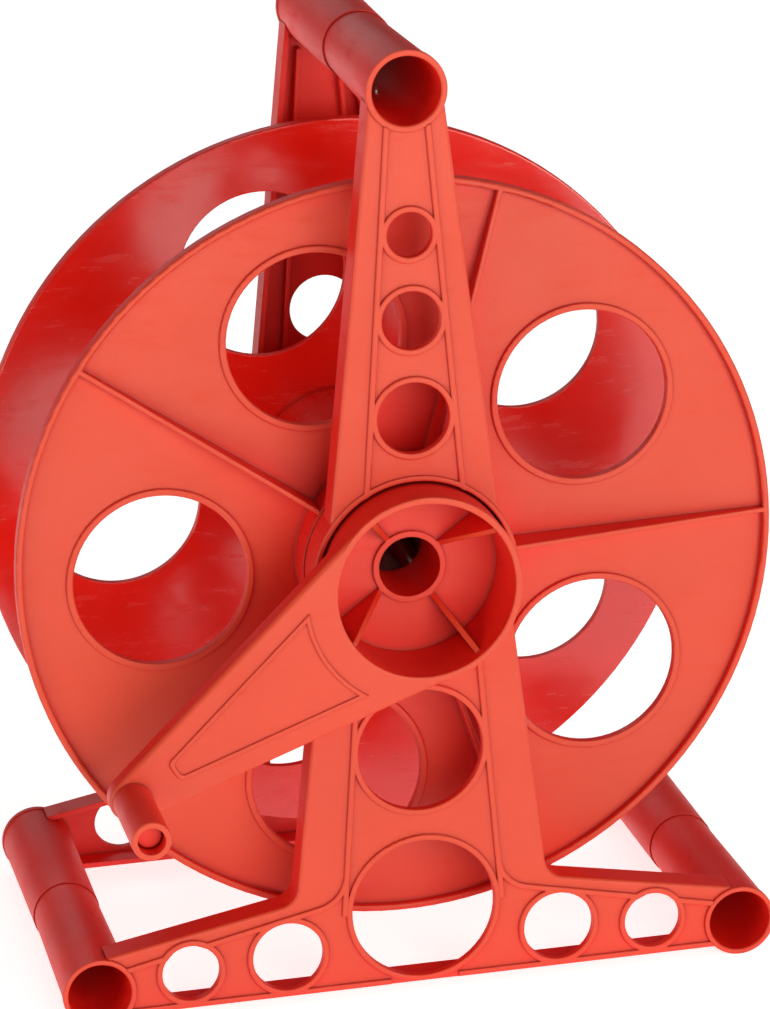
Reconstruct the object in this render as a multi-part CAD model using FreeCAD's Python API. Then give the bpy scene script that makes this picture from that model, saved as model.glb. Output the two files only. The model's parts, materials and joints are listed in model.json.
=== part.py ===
import FreeCAD, Part
import math
import os

# Extension cord reel on a free-standing frame.  Millimetres, +Z up, floor at Z = 0.
# +Y points from the crank side to the rear side, X runs along the base bar.
# The origin is the middle of the footprint of the whole object, crank knob included.

V = FreeCAD.Vector
ALONG_Y = V(0, 1, 0)

# ---- stand: driving dimensions -------------------------------------------------------------
STAND_DEPTH = 172.0        # outer face to outer face of the two side frames
KNOB_LENGTH = 42.0
CRANK_PROUD = 19.0         # crank face in front of the side frame
FRONT = -(STAND_DEPTH - KNOB_LENGTH - CRANK_PROUD) / 2.0    # Y of the front outer face
HUB_Z = 182.0
WEB = 2.4                  # web thickness of the side frame
WALL = 2.4                 # perimeter wall thickness
BEAD_H = 1.2               # beads stand this far in front of the web
BEAD_ROOT = 0.2            # and reach this far into it
BEAD_W = 2.4
CHANNEL = 14.0             # depth of the perimeter wall
EDGE_ROUND = 1.4
BEAD_ROUND = 0.6

HANDLE_Z = 381.4
FOOT_X, FOOT_Z = 136.1, 15.2
COLUMN_TOP_Z, COLUMN_TOP_X = 368.6, 16.2      # a point on the column's outer edge
COLUMN_SLOPE = 0.1138                         # widening per mm of height
BAR_TOP_IN = (56.0, 44.4)                     # two points on the base bar's top edge
BAR_TOP_OUT = (132.5, 30.4)
BAR_BOTTOM_Z = 4.0
BAR_BOTTOM_X = 131.0
BAR_FILLET = 9.0

BEAD_TOP_X, BEAD_TOP_Z, BEAD_SLOPE = 8.9, 359.6, 0.0758     # long beads beside the holes
BEAD_BAR_IN, BEAD_BAR_OUT = (60.0, 38.1), (130.0, 23.1)
BEAD_FILLET = 15.0
BACK_RIB_H = 5.0           # stiffening ribs behind the beads
FOOT_RIB_TOP_Z = 75.0      # the upright beads run on from here down to the base hole

COLUMN_HOLES = ((323.8, 9.2), (288.9, 12.0), (248.6, 14.8), (107.2, 26.1), (37.4, 30.1))
BAR_HOLES = ((57.4, 22.4, 14.8), (98.05, 20.1, 12.0))

BORE_R = 40.2              # hub bearing
BORE_RING_R = 42.5
COLLAR_END = 17.0          # bearing collar reaches this far behind the outer face

# tube: mouth radius, wall at the mouth, radii of the socket half, plain half and spigot at the seam
HANDLE = dict(mouth=16.4, wall=2.5, socket=14.9, seam=14.1, spigot=12.8)
FOOT = dict(mouth=15.2, wall=2.1, socket=14.3, seam=13.8, spigot=12.3)
SEAM = 60.0                # the front halves are this long, the rear ones are the rest
SPIGOT, SPIGOT_WALL = 11.0, 1.9    # the rear half enters the front half's socket by this much
SOCKET_GAP = 0.15
MOUTH_RING = 3.0           # straight collar at each open tube end
MOUTH_ROUND = 0.5

# ---- reel: driving dimensions --------------------------------------------------------------
FLANGE_R = 157.9
REEL_WIDTH = 112.0
RIM_H = 3.6                # rim lip height on the outer face
RIM_W = 2.8
RIM_ROUND = 0.9
FLANGE_T = 2.6
DRUM_R, DRUM_WALL = 41.0, 2.4
BOSS_R, BOSS_WALL = 43.0, 3.4
BOSS_START = 18.0          # boss end behind the outer face of the side frame
HOLE_R, HOLE_PITCH_R, HOLE_ANGLE = 35.8, 98.8, 37.4
HOLE_BEAD_W, HOLE_BEAD_H = 2.8, 1.2
RIB_T, RIB_TALL, RIB_ANGLE = 2.0, 14.5, 1.4
SPOKES = 5
POST_R, POST_PITCH_R, POST_ANGLE = 4.6, 34.8, 36.0
WELL_R, POST_FLOOR = 3.4, 3.0                # screw well in the rear posts
LAP = 3.0                  # the drum halves overlap by a stepped lip
HUB_HOLE_R = 15.5

# ---- crank and rear plug -------------------------------------------------------------------
CRANK_THROW, CRANK_ANGLE = 144.0, 212.0
CUP_R, CUP_WALL = 39.2, 2.8
CUP_END = 31.0             # rear edge of the cup wall, inside the boss
CUP_FLOOR = 14.5           # floor behind the outer face
CUP_FLOOR_T = 2.4
ARM_END_R = 9.2
ARM_T = 2.6
ARM_BACK = 10.2            # arm's rear edge is this far in front of the side frame
ARM_ROUND = 2.2
HUB_TUBE_R, HUB_TUBE_WALL = 12.7, 2.4
HUB_TUBE_FRONT, HUB_TUBE_REAR = 13.0, 46.0
GUSSETS, GUSSET_ANGLE, GUSSET_T = 4, 36.0, 2.2
GUSSET_OUT = 5.0           # gusset's outer end below the cup mouth
PANEL_IN, PANEL_R, PANEL_END = 30.4, 48.5, 124.0   # bead outline on the arm
PANEL_TIP_ROUND = 3.0      # its two corners at the knob end
PANEL_BEAD_W, PANEL_BEAD_H, PANEL_ROUND = 1.8, 0.8, 0.4
KNOB_R, KNOB_BORE_R, PIN_R = 8.0, 4.5, 4.15
KNOB_MOUTH_R, KNOB_MOUTH_DEPTH = 5.6, 9.0
PIN_CAP_R, PIN_CAP_H, PIN_GAP = 5.2, 2.2, 0.3      # head in the knob's recess
PIN_HEAD_R, PIN_HEAD_H = 6.4, 1.6                  # head formed behind the arm
KNOB_ROUND = 0.8
RUN_GAP = 0.35
CUP_SCREW_R, CUP_SCREW_PITCH_R, CUP_SCREW_ANGLE = 3.6, 25.0, 81.0

# ---- screws --------------------------------------------------------------------------------
SHANK_R, HEAD_R, HEAD_H = 1.45, 3.1, 2.0
SHANK_LENGTH, JOINT_SHANK = 12.0, 5.5
PILOT_GAP = 0.1
SLOT_W, SLOT_DEPTH = 0.9, 1.0


def polar(radius, degrees, centre=(0.0, HUB_Z)):
    a = math.radians(degrees)
    return centre[0] + radius * math.cos(a), centre[1] + radius * math.sin(a)


def cyl(x, z, radius, y0, y1):
    return Part.makeCylinder(radius, y1 - y0, V(x, y0, z), ALONG_Y)


def cone(x, z, r0, r1, y0, y1):
    return Part.makeCone(r0, r1, y1 - y0, V(x, y0, z), ALONG_Y)


def ring(x, z, outer, inner, y0, y1):
    return cyl(x, z, outer, y0, y1).cut(cyl(x, z, inner, y0 - 1, y1 + 1))


def prism(edges, y0, y1):
    """Solid from a closed outline in the XZ plane."""
    face = Part.Face(Part.Wire(edges))
    face.translate(V(0, y0, 0))
    return face.extrude(V(0, y1 - y0, 0))


def rounded(points, radii):
    """Closed outline edges through (x, z) points, each corner rounded by its own radius."""
    edges, ends = [], []
    count = len(points)
    for i, r in enumerate(radii):
        p = V(points[i][0], 0, points[i][1])
        before = V(points[i - 1][0], 0, points[i - 1][1]) - p
        after = V(points[(i + 1) % count][0], 0, points[(i + 1) % count][1]) - p
        before.normalize()
        after.normalize()
        half = before.getAngle(after) / 2.0
        middle = before + after
        middle.normalize()
        start = p + before * (r / math.tan(half))
        finish = p + after * (r / math.tan(half))
        top = p + middle * (r / math.sin(half) - r)
        ends.append((start, finish))
        if r > 0:
            edges.append(Part.Arc(start, top, finish).toShape())
    lines = []
    for i in range(count):
        a, b = ends[i][1], ends[(i + 1) % count][0]
        if a.distanceToPoint(b) > 1e-6:
            lines.append(Part.makeLine(a, b))
    return Part.__sortEdges__(edges + lines)


def strip(points, width, y0, y1):
    """Straight strip of even width between two (x, z) points, square to the XZ plane."""
    (x0, z0), (x1, z1) = points
    length = math.hypot(x1 - x0, z1 - z0)
    nx, nz = -(z1 - z0) / length * width / 2, (x1 - x0) / length * width / 2
    corners = [(x0 + nx, z0 + nz), (x1 + nx, z1 + nz), (x1 - nx, z1 - nz), (x0 - nx, z0 - nz)]
    return prism(rounded(corners, [0] * 4), y0, y1)


def fuse(shapes):
    whole = shapes[0].multiFuse(shapes[1:]) if len(shapes) > 1 else shapes[0]
    return whole.removeSplitter()


def soften(shape, y, radius):
    """Round every edge that lies in the plane at y."""
    edges = [e for e in shape.Edges if abs(e.BoundBox.YMin - y) < 1e-5
             and abs(e.BoundBox.YMax - y) < 1e-5]
    return shape.makeFillet(radius, edges)


def bead_ring(x, z, hole_r, width, y0, y1):
    """Raised ring round a hole, its front edges rounded."""
    return soften(ring(x, z, hole_r + width, hole_r, y0, y1), y0, BEAD_ROUND)


def to_rear(shape):
    """Mirror a front-side shape to the rear side of the stand."""
    return shape.mirror(V(0, FRONT + STAND_DEPTH / 2, 0), V(0, 1, 0))


# ---- side frames ---------------------------------------------------------------------------
def column_x(z):
    return COLUMN_TOP_X + COLUMN_SLOPE * (COLUMN_TOP_Z - z)


def bead_x(z):
    return BEAD_TOP_X + BEAD_SLOPE * (BEAD_TOP_Z - z)


def crossing(line_x, p, q):
    """Where the sloping edge x = line_x(z) meets the line through p and q."""
    slope = (q[1] - p[1]) / (q[0] - p[0])
    lean = line_x(1) - line_x(0)
    x = (line_x(0) + lean * (p[1] - slope * p[0])) / (1 - lean * slope)
    return x, p[1] + slope * (x - p[0])


def frame_outline(inset):
    """Inverted-T outline, its edges moved inwards by inset."""
    def edge(z):
        return column_x(z) - inset
    top_in = (BAR_TOP_IN[0], BAR_TOP_IN[1] - inset)
    top_out = (BAR_TOP_OUT[0], BAR_TOP_OUT[1] - inset)
    corner = crossing(edge, top_in, top_out)
    right = [(edge(HANDLE_Z), HANDLE_Z), corner, top_out,
             (BAR_BOTTOM_X, BAR_BOTTOM_Z + inset)]
    left = [(-x, z) for x, z in reversed(right)]
    radii = [0, BAR_FILLET + inset, 0, 0]
    return rounded(right + left, radii + radii[::-1])


def bead_outline(width_out):
    """Outline that follows the long beads and the bead along the bar, offset by width_out."""
    def edge(z):
        return bead_x(z) + width_out
    bar_in = (BEAD_BAR_IN[0], BEAD_BAR_IN[1] + width_out)
    bar_out = (BEAD_BAR_OUT[0], BEAD_BAR_OUT[1] + width_out)
    corner = crossing(edge, bar_in, bar_out)
    right = [(edge(HANDLE_Z), HANDLE_Z), corner, bar_out, (BEAD_BAR_OUT[0], -BEAD_W)]
    left = [(-x, z) for x, z in reversed(right)]
    radii = [0, BEAD_FILLET - width_out, 0, 0]
    return rounded(right + left, radii + radii[::-1])


# name, place and sizes of the three cross tubes; left and right as seen from the crank
TUBES = (("handle", 0.0, HANDLE_Z, HANDLE), ("left_foot", -FOOT_X, FOOT_Z, FOOT),
         ("right_foot", FOOT_X, FOOT_Z, FOOT))


def side_plate():
    """Web, perimeter wall, beads, holes and bearing collar of the front frame."""
    web_front = FRONT + BEAD_H
    shell = soften(prism(frame_outline(0), web_front, FRONT + CHANNEL), web_front, EDGE_ROUND)
    plate = shell.cut(prism(frame_outline(WALL), web_front + WEB, FRONT + CHANNEL + 1))

    root = web_front + BEAD_ROOT
    beads = prism(bead_outline(BEAD_W / 2), FRONT, root)
    beads = beads.cut(prism(bead_outline(-BEAD_W / 2), FRONT - 1, root + 1))
    beads = soften(beads, FRONT, BEAD_ROUND)
    beads = beads.common(prism(frame_outline(EDGE_ROUND), FRONT - 1, root + 1))
    extra = [beads]
    low_z = COLUMN_HOLES[-1][0]
    edge_z = BAR_BOTTOM_Z + BEAD_W / 2 + EDGE_ROUND / 2
    for side in (-1, 1):
        upright = [(side * bead_x(z), z) for z in (low_z, FOOT_RIB_TOP_Z)]
        along = [(side * x, edge_z) for x in (BAR_HOLES[0][0] / 4, FOOT_X - FOOT["mouth"] / 2)]
        for line in (upright, along):
            extra.append(soften(strip(line, BEAD_W, FRONT, root), FRONT, BEAD_ROUND))
        back = web_front + WEB
        spine = ((side * bead_x(COLUMN_TOP_Z - 4), COLUMN_TOP_Z - 4),
                 (side * bead_x(BAR_BOTTOM_Z + 1), BAR_BOTTOM_Z + 1))
        extra.append(strip(spine, WALL - 0.6, back - 0.2, back + BACK_RIB_H))
    for z, r in COLUMN_HOLES:
        extra.append(bead_ring(0, z, r, BEAD_W, FRONT, root))
    for x, z, r in BAR_HOLES:
        extra += [bead_ring(side * x, z, r, BEAD_W, FRONT, root) for side in (-1, 1)]
    extra.append(bead_ring(0, HUB_Z, BORE_R, BORE_RING_R - BORE_R, FRONT, FRONT + COLLAR_END))
    plate = fuse([plate] + extra)

    cuts = [cyl(0, z, r, FRONT - 1, FRONT + CHANNEL + 1) for z, r in COLUMN_HOLES]
    for x, z, r in BAR_HOLES:
        cuts += [cyl(side * x, z, r, FRONT - 1, FRONT + BEAD_H + WEB + BACK_RIB_H + 1)
                 for side in (-1, 1)]
    cuts.append(cyl(0, HUB_Z, BORE_R, FRONT - 1, FRONT + COLLAR_END + 1))
    return plate.cut(fuse(cuts))


def half_tube(x, z, size, socket):
    """Outer and inner solid of one half of a cross tube: with a socket, or with a spigot."""
    seam = FRONT + (SEAM if socket else STAND_DEPTH - SEAM)
    ring_end = FRONT + MOUTH_RING
    outer = [soften(cyl(x, z, size["mouth"], FRONT, ring_end), FRONT, MOUTH_ROUND),
             cone(x, z, size["mouth"] - 0.5, size["socket" if socket else "seam"], ring_end, seam)]
    bore_end = size["spigot"] + (SOCKET_GAP if socket else -SPIGOT_WALL)
    open_r = size["mouth"] - size["wall"]
    inner = [cone(x, z, open_r, bore_end, FRONT, seam),
             cone(x, z, open_r + MOUTH_ROUND, open_r, FRONT, FRONT + MOUTH_ROUND)]
    if socket:
        inner.append(cyl(x, z, bore_end, seam - SPIGOT - 1, seam))
    else:
        outer.append(cyl(x, z, size["spigot"], seam, seam + SPIGOT))
        inner.append(cyl(x, z, bore_end, seam, seam + SPIGOT))
    return fuse(outer), fuse(inner)


def side_nodes(prefix, front):
    """The plate and its three half tubes, each tube seated through the plate."""
    halves = {name: half_tube(x, z, size, front) for name, x, z, size in TUBES}
    nodes = {prefix + "_side_frame": side_plate().cut(fuse([o for o, _ in halves.values()]))}
    for name, (outer, inner) in halves.items():
        nodes["%s_%s_tube" % (prefix, name)] = outer.cut(inner)
    if not front:
        nodes = {name: to_rear(shape) for name, shape in nodes.items()}
    holes = joint_screw_holes()
    return {name: shape.cut(holes) if name.endswith("tube") else shape
            for name, shape in nodes.items()}


# ---- screws --------------------------------------------------------------------------------
SHANK_R, HEAD_R, HEAD_H = 1.45, 3.1, 2.0
SHANK_LENGTH, JOINT_SHANK = 12.0, 5.5
PILOT_GAP = 0.1
SLOT_W, SLOT_DEPTH = 0.9, 1.0


def polar(radius, degrees, centre=(0.0, HUB_Z)):
    a = math.radians(degrees)
    return centre[0] + radius * math.cos(a), centre[1] + radius * math.sin(a)


def cyl(x, z, radius, y0, y1):
    return Part.makeCylinder(radius, y1 - y0, V(x, y0, z), ALONG_Y)


def cone(x, z, r0, r1, y0, y1):
    return Part.makeCone(r0, r1, y1 - y0, V(x, y0, z), ALONG_Y)


def ring(x, z, outer, inner, y0, y1):
    return cyl(x, z, outer, y0, y1).cut(cyl(x, z, inner, y0 - 1, y1 + 1))


def prism(edges, y0, y1):
    """Solid from a closed outline in the XZ plane."""
    face = Part.Face(Part.Wire(edges))
    face.translate(V(0, y0, 0))
    return face.extrude(V(0, y1 - y0, 0))


def rounded(points, radii):
    """Closed outline edges through (x, z) points, each corner rounded by its own radius."""
    edges, ends = [], []
    count = len(points)
    for i, r in enumerate(radii):
        p = V(points[i][0], 0, points[i][1])
        before = V(points[i - 1][0], 0, points[i - 1][1]) - p
        after = V(points[(i + 1) % count][0], 0, points[(i + 1) % count][1]) - p
        before.normalize()
        after.normalize()
        half = before.getAngle(after) / 2.0
        middle = before + after
        middle.normalize()
        start = p + before * (r / math.tan(half))
        finish = p + after * (r / math.tan(half))
        top = p + middle * (r / math.sin(half) - r)
        ends.append((start, finish))
        if r > 0:
            edges.append(Part.Arc(start, top, finish).toShape())
    lines = []
    for i in range(count):
        a, b = ends[i][1], ends[(i + 1) % count][0]
        if a.distanceToPoint(b) > 1e-6:
            lines.append(Part.makeLine(a, b))
    return Part.__sortEdges__(edges + lines)


def strip(points, width, y0, y1):
    """Straight strip of even width between two (x, z) points, square to the XZ plane."""
    (x0, z0), (x1, z1) = points
    length = math.hypot(x1 - x0, z1 - z0)
    nx, nz = -(z1 - z0) / length * width / 2, (x1 - x0) / length * width / 2
    corners = [(x0 + nx, z0 + nz), (x1 + nx, z1 + nz), (x1 - nx, z1 - nz), (x0 - nx, z0 - nz)]
    return prism(rounded(corners, [0] * 4), y0, y1)


def fuse(shapes):
    whole = shapes[0].multiFuse(shapes[1:]) if len(shapes) > 1 else shapes[0]
    return whole.removeSplitter()


def soften(shape, y, radius):
    """Round every edge that lies in the plane at y."""
    edges = [e for e in shape.Edges if abs(e.BoundBox.YMin - y) < 1e-5
             and abs(e.BoundBox.YMax - y) < 1e-5]
    return shape.makeFillet(radius, edges)


def bead_ring(x, z, hole_r, width, y0, y1):
    """Raised ring round a hole, its front edges rounded."""
    return soften(ring(x, z, hole_r + width, hole_r, y0, y1), y0, BEAD_ROUND)


def to_rear(shape):
    """Mirror a front-side shape to the rear side of the stand."""
    return shape.mirror(V(0, FRONT + STAND_DEPTH / 2, 0), V(0, 1, 0))


# ---- side frames ---------------------------------------------------------------------------
def column_x(z):
    return COLUMN_TOP_X + COLUMN_SLOPE * (COLUMN_TOP_Z - z)


def bead_x(z):
    return BEAD_TOP_X + BEAD_SLOPE * (BEAD_TOP_Z - z)


def crossing(line_x, p, q):
    """Where the sloping edge x = line_x(z) meets the line through p and q."""
    slope = (q[1] - p[1]) / (q[0] - p[0])
    lean = line_x(1) - line_x(0)
    x = (line_x(0) + lean * (p[1] - slope * p[0])) / (1 - lean * slope)
    return x, p[1] + slope * (x - p[0])


def frame_outline(inset):
    """Inverted-T outline, its edges moved inwards by inset."""
    def edge(z):
        return column_x(z) - inset
    top_in = (BAR_TOP_IN[0], BAR_TOP_IN[1] - inset)
    top_out = (BAR_TOP_OUT[0], BAR_TOP_OUT[1] - inset)
    corner = crossing(edge, top_in, top_out)
    right = [(edge(HANDLE_Z), HANDLE_Z), corner, top_out,
             (BAR_BOTTOM_X, BAR_BOTTOM_Z + inset)]
    left = [(-x, z) for x, z in reversed(right)]
    radii = [0, BAR_FILLET + inset, 0, 0]
    return rounded(right + left, radii + radii[::-1])


def bead_outline(width_out):
    """Outline that follows the long beads and the bead along the bar, offset by width_out."""
    def edge(z):
        return bead_x(z) + width_out
    bar_in = (BEAD_BAR_IN[0], BEAD_BAR_IN[1] + width_out)
    bar_out = (BEAD_BAR_OUT[0], BEAD_BAR_OUT[1] + width_out)
    corner = crossing(edge, bar_in, bar_out)
    right = [(edge(HANDLE_Z), HANDLE_Z), corner, bar_out, (BEAD_BAR_OUT[0], -BEAD_W)]
    left = [(-x, z) for x, z in reversed(right)]
    radii = [0, BEAD_FILLET - width_out, 0, 0]
    return rounded(right + left, radii + radii[::-1])


# name, place and sizes of the three cross tubes; left and right as seen from the crank
TUBES = (("handle", 0.0, HANDLE_Z, HANDLE), ("left_foot", -FOOT_X, FOOT_Z, FOOT),
         ("right_foot", FOOT_X, FOOT_Z, FOOT))


def side_plate():
    """Web, perimeter wall, beads, holes and bearing collar of the front frame."""
    web_front = FRONT + BEAD_H
    shell = soften(prism(frame_outline(0), web_front, FRONT + CHANNEL), web_front, EDGE_ROUND)
    plate = shell.cut(prism(frame_outline(WALL), web_front + WEB, FRONT + CHANNEL + 1))

    root = web_front + BEAD_ROOT
    beads = prism(bead_outline(BEAD_W / 2), FRONT, root)
    beads = beads.cut(prism(bead_outline(-BEAD_W / 2), FRONT - 1, root + 1))
    beads = soften(beads, FRONT, BEAD_ROUND)
    beads = beads.common(prism(frame_outline(EDGE_ROUND), FRONT - 1, root + 1))
    extra = [beads]
    low_z = COLUMN_HOLES[-1][0]
    edge_z = BAR_BOTTOM_Z + BEAD_W / 2 + EDGE_ROUND / 2
    for side in (-1, 1):
        upright = [(side * bead_x(z), z) for z in (low_z, FOOT_RIB_TOP_Z)]
        along = [(side * x, edge_z) for x in (BAR_HOLES[0][0] / 4, FOOT_X - FOOT["mouth"] / 2)]
        for line in (upright, along):
            extra.append(soften(strip(line, BEAD_W, FRONT, root), FRONT, BEAD_ROUND))
        back = web_front + WEB
        spine = ((side * bead_x(COLUMN_TOP_Z - 4), COLUMN_TOP_Z - 4),
                 (side * bead_x(BAR_BOTTOM_Z + 1), BAR_BOTTOM_Z + 1))
        extra.append(strip(spine, WALL - 0.6, back - 0.2, back + BACK_RIB_H))
    for z, r in COLUMN_HOLES:
        extra.append(bead_ring(0, z, r, BEAD_W, FRONT, root))
    for x, z, r in BAR_HOLES:
        extra += [bead_ring(side * x, z, r, BEAD_W, FRONT, root) for side in (-1, 1)]
    extra.append(bead_ring(0, HUB_Z, BORE_R, BORE_RING_R - BORE_R, FRONT, FRONT + COLLAR_END))
    plate = fuse([plate] + extra)

    cuts = [cyl(0, z, r, FRONT - 1, FRONT + CHANNEL + 1) for z, r in COLUMN_HOLES]
    for x, z, r in BAR_HOLES:
        cuts += [cyl(side * x, z, r, FRONT - 1, FRONT + BEAD_H + WEB + BACK_RIB_H + 1)
                 for side in (-1, 1)]
    cuts.append(cyl(0, HUB_Z, BORE_R, FRONT - 1, FRONT + COLLAR_END + 1))
    return plate.cut(fuse(cuts))


def half_tube(x, z, size, plain):
    """Outer and inner solid of half a cross tube: one half ends in a spigot, one in a socket."""
    seam = FRONT + STAND_DEPTH / 2
    ring_end = FRONT + MOUTH_RING
    at_seam = size["seam"] if plain else size["socket"]
    outer = [soften(cyl(x, z, size["mouth"], FRONT, ring_end), FRONT, MOUTH_ROUND),
             cone(x, z, size["mouth"] - 0.5, at_seam, ring_end, seam)]
    bore_end = size["seam"] - size["wall"] if plain else size["seam"] + SOCKET_GAP
    open_r = size["mouth"] - size["wall"]
    inner = [cone(x, z, open_r, bore_end, FRONT, seam),
             cone(x, z, open_r + MOUTH_ROUND, open_r, FRONT, FRONT + MOUTH_ROUND)]
    if plain:
        outer.append(cyl(x, z, size["seam"], seam, seam + SPIGOT))
        inner.append(cyl(x, z, bore_end, seam, seam + SPIGOT))
    else:
        inner.append(cyl(x, z, bore_end, seam - SPIGOT - 1, seam))
    return fuse(outer), fuse(inner)


def side_nodes(prefix, plain):
    """The plate and its three half tubes, each tube seated through the plate."""
    halves = {name: half_tube(x, z, size, plain) for name, x, z, size in TUBES}
    nodes = {prefix + "_side_frame": side_plate().cut(fuse([o for o, _ in halves.values()]))}
    for name, (outer, inner) in halves.items():
        nodes["%s_%s_tube" % (prefix, name)] = outer.cut(inner)
    if not plain:
        nodes = {name: to_rear(shape) for name, shape in nodes.items()}
    holes = joint_screw_holes()
    return {name: shape.cut(holes) if name.endswith("tube") else shape
            for name, shape in nodes.items()}


# ---- screws --------------------------------------------------------------------------------
def screw(at, direction, shank):
    """Pan-head screw: the underside of the head is at the point, the shank runs along direction."""
    head = Part.makeCylinder(HEAD_R, HEAD_H, at - direction * HEAD_H, direction)
    top = [e for e in head.Edges if abs((e.CenterOfMass - at).dot(direction) + HEAD_H) < 1e-6]
    head = head.makeFillet(HEAD_H * 0.45, top[:1])
    body = head.fuse(Part.makeCylinder(SHANK_R, shank - 1.5, at, direction))
    tip = Part.makeCone(SHANK_R, 0.3, 1.5, at + direction * (shank - 1.5), direction)
    body = body.fuse(tip).removeSplitter()
    placement = FreeCAD.Placement(at - direction * HEAD_H, FreeCAD.Rotation(V(0, 0, 1), direction))
    for turn in (0, 90):
        slot = Part.makeBox(HEAD_R * 1.2, SLOT_W, 2 * SLOT_DEPTH,
                            V(-HEAD_R * 0.6, -SLOT_W / 2, -SLOT_DEPTH))
        slot.rotate(V(0, 0, 0), V(0, 0, 1), turn)
        slot.Placement = placement.multiply(slot.Placement)
        body = body.cut(slot)
    return body


def joint_screw_sites():
    """Where a screw goes through each tube joint: on the hidden, inner-lower side."""
    sites = []
    y = FRONT + SEAM - SPIGOT / 2
    for _, x, z, size in TUBES:
        inward = V(-x, 0, -abs(x)) if x else V(0, 0, -1)
        inward.normalize()
        sites.append((V(x, y, z), inward, size["socket"] + 0.25))
    return sites


def joint_screw_holes():
    holes = [Part.makeCylinder(SHANK_R + PILOT_GAP, radius + 4, centre, out)
             for centre, out, radius in joint_screw_sites()]
    return fuse(holes)


def joint_screws():
    return [screw(centre + out * radius, out * -1, JOINT_SHANK)
            for centre, out, radius in joint_screw_sites()]


# ---- reel ----------------------------------------------------------------------------------
def reel_levels():
    """Y of the front flange's rim lip, outer face and inner face, and of the reel's middle."""
    mid = FRONT + STAND_DEPTH / 2
    lip = mid - REEL_WIDTH / 2
    return lip, lip + RIM_H, lip + RIM_H + FLANGE_T, mid


def flange(web_holes):
    """Front flange: plate, rim lip, beaded holes, gusset ribs and hub boss."""
    lip, face, inner, _ = reel_levels()
    rim = ring(0, HUB_Z, FLANGE_R, FLANGE_R - RIM_W, lip, inner)
    rim = soften(soften(rim, lip, RIM_ROUND), inner, BEAD_ROUND)
    parts = [cyl(0, HUB_Z, FLANGE_R - 1, face, inner), rim,
             cyl(0, HUB_Z, BOSS_R, FRONT + BOSS_START, face + 0.5)]
    holes = [cyl(0, HUB_Z, BOSS_R - BOSS_WALL, FRONT, face),
             cyl(0, HUB_Z, HUB_HOLE_R, FRONT, inner + 1)]
    for k in range(SPOKES):
        x, z = polar(HOLE_PITCH_R, HOLE_ANGLE + 360.0 / SPOKES * k)
        parts.append(bead_ring(x, z, HOLE_R, HOLE_BEAD_W, face - HOLE_BEAD_H, face + 0.5))
        parts.append(gusset_rib(RIB_ANGLE + 360.0 / SPOKES * k, lip, face))
        holes.append(cyl(x, z, HOLE_R, lip - 1, inner + 1))
    return fuse(parts).cut(fuse(holes + web_holes))


def gusset_rib(angle, lip, face):
    """Radial rib, tall at the boss and down to the lip height at the rim."""
    r0, r1 = BOSS_R - 1.0, FLANGE_R - 1.0
    profile = Part.makePolygon([V(r0, face + 0.5, 0), V(r1, face + 0.5, 0), V(r1, lip, 0),
                                V(r0, face - RIB_TALL, 0), V(r0, face + 0.5, 0)])
    rib = Part.Face(profile).extrude(V(0, 0, RIB_T))
    crest = (lip + face - RIB_TALL) / 2
    rib = rib.makeFillet(BEAD_ROUND, [e for e in rib.Edges
                                      if abs(e.CenterOfMass.y - crest) < 1e-5])
    rib.translate(V(0, 0, -RIB_T / 2))
    rib.rotate(V(0, 0, 0), ALONG_Y, -angle)
    rib.translate(V(0, 0, HUB_Z))
    return rib


def posts(y0, y1, radius, pitch, angle):
    sites = [polar(pitch, angle + 90 * k) for k in range(4)]
    return [cyl(x, z, radius, y0, y1) for x, z in sites]


def through_web(radius, pitch, angle):
    lip, face, inner, _ = reel_levels()
    return posts(face - 1, inner + 1, radius, pitch, angle)


def front_flange():
    return flange(through_web(SHANK_R + PILOT_GAP, CUP_SCREW_PITCH_R, CUP_SCREW_ANGLE))


def rear_flange():
    holes = through_web(SHANK_R + PILOT_GAP, CUP_SCREW_PITCH_R, CUP_SCREW_ANGLE)
    wells = through_web(WELL_R, POST_PITCH_R, POST_ANGLE)
    return to_rear(flange(holes + wells))


def drum_shell():
    """Half of the drum with the four posts that carry the joining screws."""
    _, _, inner, mid = reel_levels()
    shell = ring(0, HUB_Z, DRUM_R, DRUM_R - DRUM_WALL, inner, mid)
    return fuse([shell] + posts(inner, mid, POST_R, POST_PITCH_R, POST_ANGLE))


def front_drum_half():
    mid = reel_levels()[3]
    pilots = posts(mid - SHANK_LENGTH, mid + 1, SHANK_R + PILOT_GAP, POST_PITCH_R, POST_ANGLE)
    step = ring(0, HUB_Z, DRUM_R + 1, DRUM_R - DRUM_WALL / 2, mid - LAP, mid + 1)
    return drum_shell().cut(fuse(pilots + [step]))


def rear_drum_half():
    _, _, inner, mid = reel_levels()
    wells = posts(inner - 1, mid - POST_FLOOR, WELL_R, POST_PITCH_R, POST_ANGLE)
    clear = posts(mid - POST_FLOOR - 1, mid + 1, SHANK_R + PILOT_GAP, POST_PITCH_R, POST_ANGLE)
    lip = ring(0, HUB_Z, DRUM_R, DRUM_R - DRUM_WALL / 2 + 0.1, mid - 0.5, mid + LAP - 0.1)
    return to_rear(drum_shell().cut(fuse(wells + clear)).fuse(lip).removeSplitter())


def reel_joint_screws():
    y = reel_levels()[3] + POST_FLOOR
    sites = [polar(POST_PITCH_R, POST_ANGLE + 90 * k) for k in range(4)]
    return [screw(V(x, y, z), V(0, -1, 0), SHANK_LENGTH) for x, z in sites]


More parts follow.
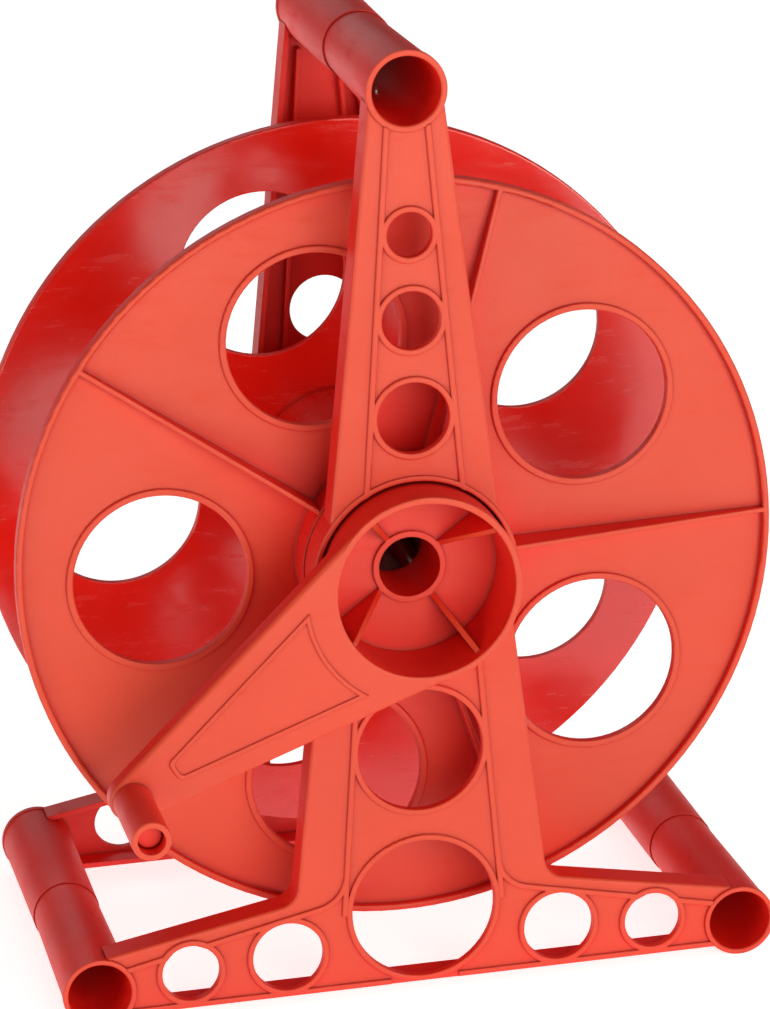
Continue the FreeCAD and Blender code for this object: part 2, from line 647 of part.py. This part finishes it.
# ---- hub cups: the crank and the rear plug share the same cup ------------------------------
def gusset(angle, floor, mouth):
    """Sloping web from the hub tube's end up to the cup wall."""
    r0, r1 = HUB_TUBE_R + 1.0, CUP_R - 1.0
    top = FRONT + HUB_TUBE_FRONT
    profile = Part.makePolygon([V(r0, floor + 0.5, 0), V(r1, floor + 0.5, 0),
                                V(r1, mouth + GUSSET_OUT, 0), V(r1 - 2.5, mouth + GUSSET_OUT, 0),
                                V(r0 + 1.5, top, 0), V(r0, top, 0), V(r0, floor + 0.5, 0)])
    web = Part.Face(profile).extrude(V(0, 0, GUSSET_T))
    web.translate(V(0, 0, -GUSSET_T / 2))
    web.rotate(V(0, 0, 0), ALONG_Y, -angle)
    web.translate(V(0, 0, HUB_Z))
    return web


def hub_cup(mouth):
    """Cup open to the front, with floor, gussets, hub tube and screw bosses behind."""
    floor = FRONT + CUP_FLOOR
    web = reel_levels()[1]
    wall = ring(0, HUB_Z, CUP_R, CUP_R - CUP_WALL, mouth, FRONT + CUP_END)
    cup = [soften(wall, mouth, BEAD_ROUND),
           cyl(0, HUB_Z, CUP_R - 1, floor, floor + CUP_FLOOR_T),
           cyl(0, HUB_Z, HUB_TUBE_R + HUB_TUBE_WALL, FRONT + HUB_TUBE_FRONT,
               FRONT + HUB_TUBE_REAR)]
    cup += [gusset(GUSSET_ANGLE + 90 * k, floor, mouth) for k in range(GUSSETS)]
    cup += posts(floor + 1, web - 0.05, CUP_SCREW_R, CUP_SCREW_PITCH_R, CUP_SCREW_ANGLE)
    pilots = posts(floor + CUP_FLOOR_T, web, SHANK_R + PILOT_GAP,
                   CUP_SCREW_PITCH_R, CUP_SCREW_ANGLE)
    bore = cyl(0, HUB_Z, HUB_TUBE_R, FRONT, FRONT + STAND_DEPTH / 2)
    return fuse(cup).cut(fuse(pilots + [bore]))


def cup_screws():
    web = reel_levels()[2]
    sites = [polar(CUP_SCREW_PITCH_R, CUP_SCREW_ANGLE + 90 * k) for k in range(4)]
    return [screw(V(x, web + 0.05, z), V(0, -1, 0), SHANK_LENGTH) for x, z in sites]


def arm_outline(inset):
    """Belt outline round the cup and the arm's small end, moved inwards by inset."""
    big, small = CUP_R - inset, ARM_END_R - inset
    tilt = math.degrees(math.asin((big - small) / CRANK_THROW))
    end = polar(CRANK_THROW, CRANK_ANGLE)
    points = []
    for side in (1, -1):
        angle = CRANK_ANGLE + side * (90 - tilt)
        points.append((polar(big, angle), polar(small, angle, end)))
    (a_big, a_small), (b_big, b_small) = points
    far, tip = polar(big, CRANK_ANGLE + 180), polar(small, CRANK_ANGLE, end)
    return belt(a_big, far, b_big, b_small, tip, a_small)


def belt(a, a_mid, b, c, c_mid, d):
    """Closed outline: arc a to b, line to c, arc c to d, line back to a."""
    a, a_mid, b, c, c_mid, d = [V(p[0], 0, p[1]) for p in (a, a_mid, b, c, c_mid, d)]
    return [Part.Arc(a, a_mid, b).toShape(), Part.makeLine(b, c),
            Part.Arc(c, c_mid, d).toShape(), Part.makeLine(d, a)]


def panel_prism(inset, y0, y1):
    """Tapered panel on the arm: sides parallel to its edges, an arc round the cup, a square tip."""
    tilt = math.degrees(math.asin((CUP_R - ARM_END_R) / CRANK_THROW))
    out, near, end = PANEL_IN - inset, PANEL_R + inset, PANEL_END - inset
    corners = []
    for side in (1, -1):
        foot = polar(out, CRANK_ANGLE + side * (90 - tilt))
        reach = math.radians(tilt)
        run = math.sqrt(near ** 2 - out ** 2)
        tip = (end - out * math.sin(reach)) / math.cos(reach)
        for along in (run, tip):
            x, z = polar(along, CRANK_ANGLE - side * tilt, foot)
            corners.append(V(x, 0, z))
    a_near, a_far, b_near, b_far = corners
    x, z = polar(near, CRANK_ANGLE)
    body = prism([Part.Arc(a_near, V(x, 0, z), b_near).toShape(), Part.makeLine(b_near, b_far),
                  Part.makeLine(b_far, a_far), Part.makeLine(a_far, a_near)], y0, y1)
    at_tip = [e for e in body.Edges if e.BoundBox.YLength > abs(y1 - y0) / 2
              and min((V(e.CenterOfMass.x, 0, e.CenterOfMass.z) - p).Length
                      for p in (a_far, b_far)) < 0.01]
    return body.makeFillet(PANEL_TIP_ROUND - inset / 2, at_tip)


def crank_arm():
    mouth = FRONT - CRANK_PROUD
    face, back = mouth + PANEL_BEAD_H, FRONT - ARM_BACK
    body = soften(prism(arm_outline(0), face, back), face, ARM_ROUND)
    body = body.cut(prism(arm_outline(WALL), face + ARM_T, back + 1))
    bead = panel_prism(0, mouth, face + BEAD_ROOT)
    bead = bead.cut(panel_prism(PANEL_BEAD_W, mouth - 1, face + 1))
    bead = soften(bead, mouth, PANEL_ROUND)
    x, z = polar(CRANK_THROW, CRANK_ANGLE)
    spine = strip((polar(CUP_R - 1, CRANK_ANGLE), (x, z)), WALL - 0.4, face + 1, back - PIN_HEAD_H)
    seat = cyl(x, z, ARM_END_R - 1, face + 1, back - PIN_HEAD_H)
    body = fuse([body, bead, spine, seat])
    body = body.cut(cyl(0, HUB_Z, CUP_R - CUP_WALL, mouth - 1, back + 1))
    body = body.cut(cone(0, HUB_Z, CUP_R - CUP_WALL + MOUTH_ROUND, CUP_R - CUP_WALL,
                         face, face + MOUTH_ROUND))
    body = body.cut(cyl(x, z, PIN_R + 0.05, mouth, back + 1))
    return body.fuse(hub_cup(face))


def knob_pin():
    """Rivet through the knob and the arm's end, with a head in the knob and one behind the arm."""
    x, z = polar(CRANK_THROW, CRANK_ANGLE)
    back = FRONT - ARM_BACK
    cap_end = FRONT - CRANK_PROUD - KNOB_LENGTH + KNOB_MOUTH_DEPTH - PIN_GAP
    cap = cyl(x, z, PIN_CAP_R, cap_end - PIN_CAP_H, cap_end)
    return fuse([soften(cap, cap_end - PIN_CAP_H, BEAD_ROUND),
                 cyl(x, z, PIN_R, cap_end - 0.5, back),
                 cyl(x, z, PIN_HEAD_R, back - PIN_HEAD_H, back)])


def rear_hub_plug():
    return to_rear(hub_cup(FRONT + 0.5))


def crank_knob():
    x, z = polar(CRANK_THROW, CRANK_ANGLE)
    base = FRONT - CRANK_PROUD + PANEL_BEAD_H - RUN_GAP
    tip = FRONT - CRANK_PROUD - KNOB_LENGTH
    body = soften(cyl(x, z, KNOB_R, tip, base), tip, KNOB_ROUND)
    recess = cyl(x, z, KNOB_MOUTH_R, tip - 1, tip + KNOB_MOUTH_DEPTH)
    return body.cut(recess).cut(cyl(x, z, KNOB_BORE_R, tip, base + 1))


def main():
    os.makedirs("parts", exist_ok=True)
    nodes = {**side_nodes("front", True), **side_nodes("rear", False)}
    nodes.update({
        "frame_joint_screws": Part.makeCompound(joint_screws()),
        "front_flange": front_flange(),
        "rear_flange": rear_flange(),
        "front_drum_half": front_drum_half(),
        "rear_drum_half": rear_drum_half(),
        "reel_joint_screws": Part.makeCompound(reel_joint_screws()),
        "crank_arm": crank_arm(),
        "knob_pin": knob_pin(),
        "crank_fixing_screws": Part.makeCompound(cup_screws()),
        "rear_hub_plug": rear_hub_plug(),
        "plug_fixing_screws": Part.makeCompound([to_rear(s) for s in cup_screws()]),
        "crank_knob": crank_knob(),
    })
    for name, shape in nodes.items():
        shape.exportStep("parts/%s.step" % name)
        box = shape.BoundBox
        print("%-20s solids %d valid %s  x %.1f..%.1f y %.1f..%.1f z %.1f..%.1f" % (
            name, len(shape.Solids), shape.isValid(), box.XMin, box.XMax,
            box.YMin, box.YMax, box.ZMin, box.ZMax))


main()
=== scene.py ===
"""Extension cord reel: finishes, floor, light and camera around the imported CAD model."""
import json
import math

import bpy
from mathutils import Matrix, Vector

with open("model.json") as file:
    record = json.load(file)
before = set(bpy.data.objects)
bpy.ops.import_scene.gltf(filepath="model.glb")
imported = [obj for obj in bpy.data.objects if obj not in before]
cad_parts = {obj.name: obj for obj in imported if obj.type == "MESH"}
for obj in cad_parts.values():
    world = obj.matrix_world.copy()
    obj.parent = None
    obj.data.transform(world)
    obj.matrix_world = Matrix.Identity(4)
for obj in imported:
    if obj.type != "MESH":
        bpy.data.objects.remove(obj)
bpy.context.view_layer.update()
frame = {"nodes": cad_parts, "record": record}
scene = bpy.context.scene
scene.view_settings.view_transform = "Standard"

# ---------------------------------------------------------------- materials

MID_Y = 0.0305             # middle of the reel's width
POLISHED = 0.0499          # half the gap between the flanges: faces inside it are glossy
EDGE_ROUNDING = 0.0009          # edges are rounded in shading and carry a painted highlight over this width
CORNER_REACH = 0.0028      # painted shade darkens corners tighter than this
SHADE_REACH = 0.06         # painted shade: a face with something this close in front of it gets no painted paler orange
GRAIN_SCALE = 900.0        # of the fine mould grain
EDGE_HIGHLIGHT_STRENGTH = 0.35                # how strongly the painted highlight on edges shows
STAND_RED, REEL_RED, KNOB_RED = (0.78, 0.010, 0.003), (0.76, 0.007, 0.002), (0.78, 0.020, 0.007)
# painted highlight: paler orange painted on open outer front and back faces, standing in for the
# key and back light
LIT_FACE_ORANGE = (0.62, 0.049, 0.015)
# painted shade colour for corners and creases
CORNER_SHADE = (0.36, 0.006, 0.003)
# painted highlight colour laid along rounded edges
EDGE_HIGHLIGHT = (0.86, 0.150, 0.075)

def node(tree, kind, **inputs):
    made = tree.nodes.new(kind)
    for key, value in inputs.items():
        made.inputs[key.replace("_", " ")].default_value = value
    return made


def noise(tree, place, scale, detail=4.0, rough=0.55, stretch=None):
    made = node(tree, "ShaderNodeTexNoise", Scale=scale, Detail=detail, Roughness=rough)
    if stretch:
        warp = tree.nodes.new("ShaderNodeMapping")
        warp.inputs["Scale"].default_value = stretch
        tree.links.new(place, warp.inputs["Vector"])
        place = warp.outputs["Vector"]
    tree.links.new(place, made.inputs["Vector"])
    return made.outputs["Fac"]


def ramp(tree, source, low, high, start=0.35, end=0.65):
    """Maps source from start..end to low..high, clamped."""
    made = tree.nodes.new("ShaderNodeMapRange")
    for key, value in (("From Min", start), ("From Max", end), ("To Min", low), ("To Max", high)):
        made.inputs[key].default_value = value
    tree.links.new(source, made.inputs["Value"])
    return made.outputs["Result"]


def mix(tree, factor, a, b):
    """Colour a to b by factor; a and b are colours or sockets."""
    made = tree.nodes.new("ShaderNodeMix")
    made.data_type = "RGBA"
    tree.links.new(factor, made.inputs["Factor"])
    for key, value in ((6, a), (7, b)):
        if isinstance(value, tuple):
            made.inputs[key].default_value = (*value, 1.0)
        else:
            tree.links.new(value, made.inputs[key])
    return made.outputs[2]


def math_node(tree, operation, *values, clamp=True):
    made = tree.nodes.new("ShaderNodeMath")
    made.operation = operation
    made.use_clamp = clamp
    for slot, value in enumerate(values):
        if isinstance(value, (int, float)):
            made.inputs[slot].default_value = value
        else:
            tree.links.new(value, made.inputs[slot])
    return made.outputs[0]


def openness(tree, reach):
    """1 where nothing is within reach of the surface, less in corners and behind other parts."""
    made = node(tree, "ShaderNodeAmbientOcclusion", Distance=reach)
    made.samples = 6
    return made.outputs["AO"]


def along_y(tree, socket):
    split = tree.nodes.new("ShaderNodeSeparateXYZ")
    tree.links.new(socket, split.inputs[0])
    return split.outputs["Y"]


def plastic(name, base, rough, grain, polished=None):
    """Moulded polypropylene with cloudy pigment, mould grain, scuffs and painted shade in its
    corners.

    Edges get a painted pale highlight, and outer front and back faces get painted paler orange
    light where nothing shades them.
    Within polished of the reel's middle the plastic is glossy and has no grain.
    """
    mat = bpy.data.materials.new(name)
    mat.use_nodes = True
    tree = mat.node_tree
    shader = tree.nodes["Principled BSDF"]
    coords = tree.nodes.new("ShaderNodeTexCoord")
    place = coords.outputs["Object"]

    deep = tuple(c * 0.84 for c in base)
    cloud = ramp(tree, noise(tree, place, 14.0), 0.0, 1.0)
    colour = mix(tree, cloud, deep, base)
    # Painted light: outer front and back faces are painted paler orange, and painted shade keeps
    # faces with a part close in front deep red.
    depth = math_node(tree, "SUBTRACT", along_y(tree, place), MID_Y, clamp=False)
    turned = along_y(tree, coords.outputs["Normal"])
    facing = math_node(tree, "MULTIPLY", depth, turned, clamp=False)
    lit_face_mask = ramp(tree, facing, 0.0, 1.0, 0.004, 0.036)
    lit_face_mask = math_node(tree, "MULTIPLY", lit_face_mask,
                        ramp(tree, openness(tree, SHADE_REACH), 0.0, 1.0, 0.30, 0.72))
    lit_face_orange = mix(tree, cloud, tuple(c * 0.95 for c in LIT_FACE_ORANGE), LIT_FACE_ORANGE)
    colour = mix(tree, lit_face_mask, colour, lit_face_orange)

    bevel = node(tree, "ShaderNodeBevel", Radius=EDGE_ROUNDING)
    bevel.samples = 4
    here = tree.nodes.new("ShaderNodeNewGeometry").outputs["Normal"]
    dot = tree.nodes.new("ShaderNodeVectorMath")
    dot.operation = "DOT_PRODUCT"
    tree.links.new(bevel.outputs["Normal"], dot.inputs[0])
    tree.links.new(here, dot.inputs[1])
    # Painted highlight: pale orange painted in patches along the rounded edges.
    edge = ramp(tree, dot.outputs["Value"], 1.0, 0.0, 0.72, 0.985)
    patchy = ramp(tree, noise(tree, place, 60.0), 0.35, 1.0)
    edge_highlight_mask = math_node(tree, "MULTIPLY", math_node(tree, "MULTIPLY", edge, patchy), EDGE_HIGHLIGHT_STRENGTH)
    colour = mix(tree, edge_highlight_mask, colour, EDGE_HIGHLIGHT)
    # Painted shade: corners and creases are painted darker red.
    corner_shade_mask = ramp(tree, openness(tree, CORNER_REACH), 0.85, 0.0, 0.42, 0.88)
    colour = mix(tree, corner_shade_mask, colour, CORNER_SHADE)
    tree.links.new(colour, shader.inputs["Base Color"])

    scuff = ramp(tree, noise(tree, place, 55.0, 6.0, 0.65, (1.0, 1.0, 5.0)), 0.0, 0.14, 0.52, 0.72)
    sheen = ramp(tree, noise(tree, place, 24.0), rough - 0.05, rough + 0.05)
    rough_here = math_node(tree, "ADD", sheen, scuff)
    fine = noise(tree, place, GRAIN_SCALE, 3.0, 0.6)
    shader.inputs["Specular IOR Level"].default_value = 0.5
    if polished:
        inner = math_node(tree, "COMPARE", along_y(tree, place), MID_Y, polished)
        rough_here = math_node(tree, "SUBTRACT", rough_here,
                               math_node(tree, "MULTIPLY", inner, rough - 0.20))
        fine = math_node(tree, "MULTIPLY", fine, math_node(tree, "SUBTRACT", 1.0, inner))
        tree.links.new(ramp(tree, inner, 0.5, 0.95, 0.0, 1.0), shader.inputs["Specular IOR Level"])
    tree.links.new(rough_here, shader.inputs["Roughness"])

    coarse = noise(tree, place, 70.0, 2.0, 0.5)
    bumps = bevel.outputs["Normal"]
    for height, strength, distance in ((coarse, 0.10, 0.0010), (fine, grain, 0.0002)):
        bump = node(tree, "ShaderNodeBump", Strength=strength, Distance=distance)
        tree.links.new(height, bump.inputs["Height"])
        tree.links.new(bumps, bump.inputs["Normal"])
        bumps = bump.outputs["Normal"]
    tree.links.new(bumps, shader.inputs["Normal"])
    return mat


def steel(name):
    """Zinc-plated screw steel with a faint turned grain and grey stains."""
    mat = bpy.data.materials.new(name)
    mat.use_nodes = True
    tree = mat.node_tree
    shader = tree.nodes["Principled BSDF"]
    place = tree.nodes.new("ShaderNodeTexCoord").outputs["Object"]
    stain = ramp(tree, noise(tree, place, 260.0), 0.0, 1.0)
    colour = mix(tree, stain, (0.42, 0.42, 0.40), (0.66, 0.66, 0.64))
    tree.links.new(colour, shader.inputs["Base Color"])
    shader.inputs["Metallic"].default_value = 1.0
    tree.links.new(ramp(tree, noise(tree, place, 700.0), 0.26, 0.44), shader.inputs["Roughness"])
    bump = node(tree, "ShaderNodeBump", Strength=0.25, Distance=0.0001)
    tree.links.new(noise(tree, place, 1800.0), bump.inputs["Height"])
    tree.links.new(bump.outputs["Normal"], shader.inputs["Normal"])
    return mat


FINISH = {
    "stand_plastic": plastic("stand_plastic_finish", STAND_RED, 0.50, 0.35),
    "reel_plastic": plastic("reel_plastic_finish", REEL_RED, 0.50, 0.30, polished=POLISHED),
    "crank_plastic": plastic("crank_plastic_finish", STAND_RED, 0.50, 0.35),
    "knob_plastic": plastic("knob_plastic_finish", KNOB_RED, 0.48, 0.30),
    "screw_steel": steel("screw_steel_finish"),
}
SLOT = {part["node"]: part["material_slot"] for part in frame["record"]["subparts"]}


def dress(obj, mat):
    if not obj.material_slots:
        obj.data.materials.append(mat)
    for held in obj.material_slots:
        held.link = "OBJECT"
        held.material = mat


for name, obj in frame["nodes"].items():
    dress(obj, FINISH[SLOT[name]])

# ------------------------------------------------------------ floor and light


def floor(half):
    mesh = bpy.data.meshes.new("floor")
    corners = [(-half, -half, 0), (half, -half, 0), (half, half, 0), (-half, half, 0)]
    mesh.from_pydata(corners, [], [(0, 1, 2, 3)])
    obj = bpy.data.objects.new("floor", mesh)
    scene.collection.objects.link(obj)
    mat = bpy.data.materials.new("floor_paper")
    mat.use_nodes = True
    tree = mat.node_tree
    shader = tree.nodes["Principled BSDF"]
    place = tree.nodes.new("ShaderNodeTexCoord").outputs["Object"]
    cloud = ramp(tree, noise(tree, place, 3.0), 0.0, 1.0)
    colour = mix(tree, cloud, (0.90, 0.90, 0.90), (0.93, 0.93, 0.93))
    tree.links.new(colour, shader.inputs["Base Color"])
    shader.inputs["Roughness"].default_value = 0.9
    shader.inputs["Specular IOR Level"].default_value = 0.1
    shader.inputs["Emission Color"].default_value = (1.0, 1.0, 1.0, 1.0)
    shader.inputs["Emission Strength"].default_value = 0.74
    mesh.materials.append(mat)


def lamp(name, place, aim, size, watts, tint=(1.0, 1.0, 1.0)):
    data = bpy.data.lights.new(name, "AREA")
    data.shape = "RECTANGLE"
    data.size, data.size_y = size
    data.energy = watts
    data.color = tint
    obj = bpy.data.objects.new(name, data)
    obj.location = place
    obj.rotation_euler = (Vector(aim) - Vector(place)).to_track_quat("-Z", "Y").to_euler()
    scene.collection.objects.link(obj)


floor(8.0)
WARM = (1.0, 0.90, 0.78)
lamp("key_light", (0.55, -2.2, 0.62), (0, 0, 0.2), (1.7, 1.1), 35, WARM)
lamp("left_light", (-2.0, -0.9, 0.35), (0, 0, 0.2), (0.9, 0.6), 12, WARM)
lamp("side_light", (2.0, -0.5, 1.0), (0, 0, 0.2), (1.2, 1.2), 8, WARM)
lamp("top_light", (0.3, 0.1, 2.2), (0, 0, 0.2), (1.8, 1.8), 3)
lamp("back_light", (-0.4, 2.3, 1.2), (0, 0, 0.2), (1.6, 1.0), 5)

world = bpy.data.worlds.new("studio")
world.use_nodes = True
world.node_tree.nodes["Background"].inputs["Color"].default_value = (1.0, 1.0, 1.0, 1.0)
world.node_tree.nodes["Background"].inputs["Strength"].default_value = 0.16
scene.world = world

# -------------------------------------------------------------------- camera

AZIMUTH, ELEVATION, ROLL = math.radians(-12.66), math.radians(18.36), math.radians(-1.345)
DISTANCE = 1.816
TARGET = Vector((0.00096, 0.0045, 0.1935))
LENS = 156.66

away = Vector((math.sin(AZIMUTH) * math.cos(ELEVATION),
               -math.cos(AZIMUTH) * math.cos(ELEVATION), math.sin(ELEVATION)))
right = (-away).cross(Vector((0, 0, 1))).normalized()
up = right.cross(-away)
right, up = (math.cos(ROLL) * right + math.sin(ROLL) * up,
             -math.sin(ROLL) * right + math.cos(ROLL) * up)
lens = bpy.data.cameras.new("photo_camera")
lens.sensor_fit = "VERTICAL"
lens.sensor_height = 36.0
lens.lens = LENS
lens.clip_start, lens.clip_end = 0.05, 50.0
camera = bpy.data.objects.new("photo_camera", lens)
turn = Matrix((right, up, away)).transposed().to_4x4()
camera.matrix_world = Matrix.Translation(TARGET + away * DISTANCE) @ turn
scene.collection.objects.link(camera)
scene.camera = camera
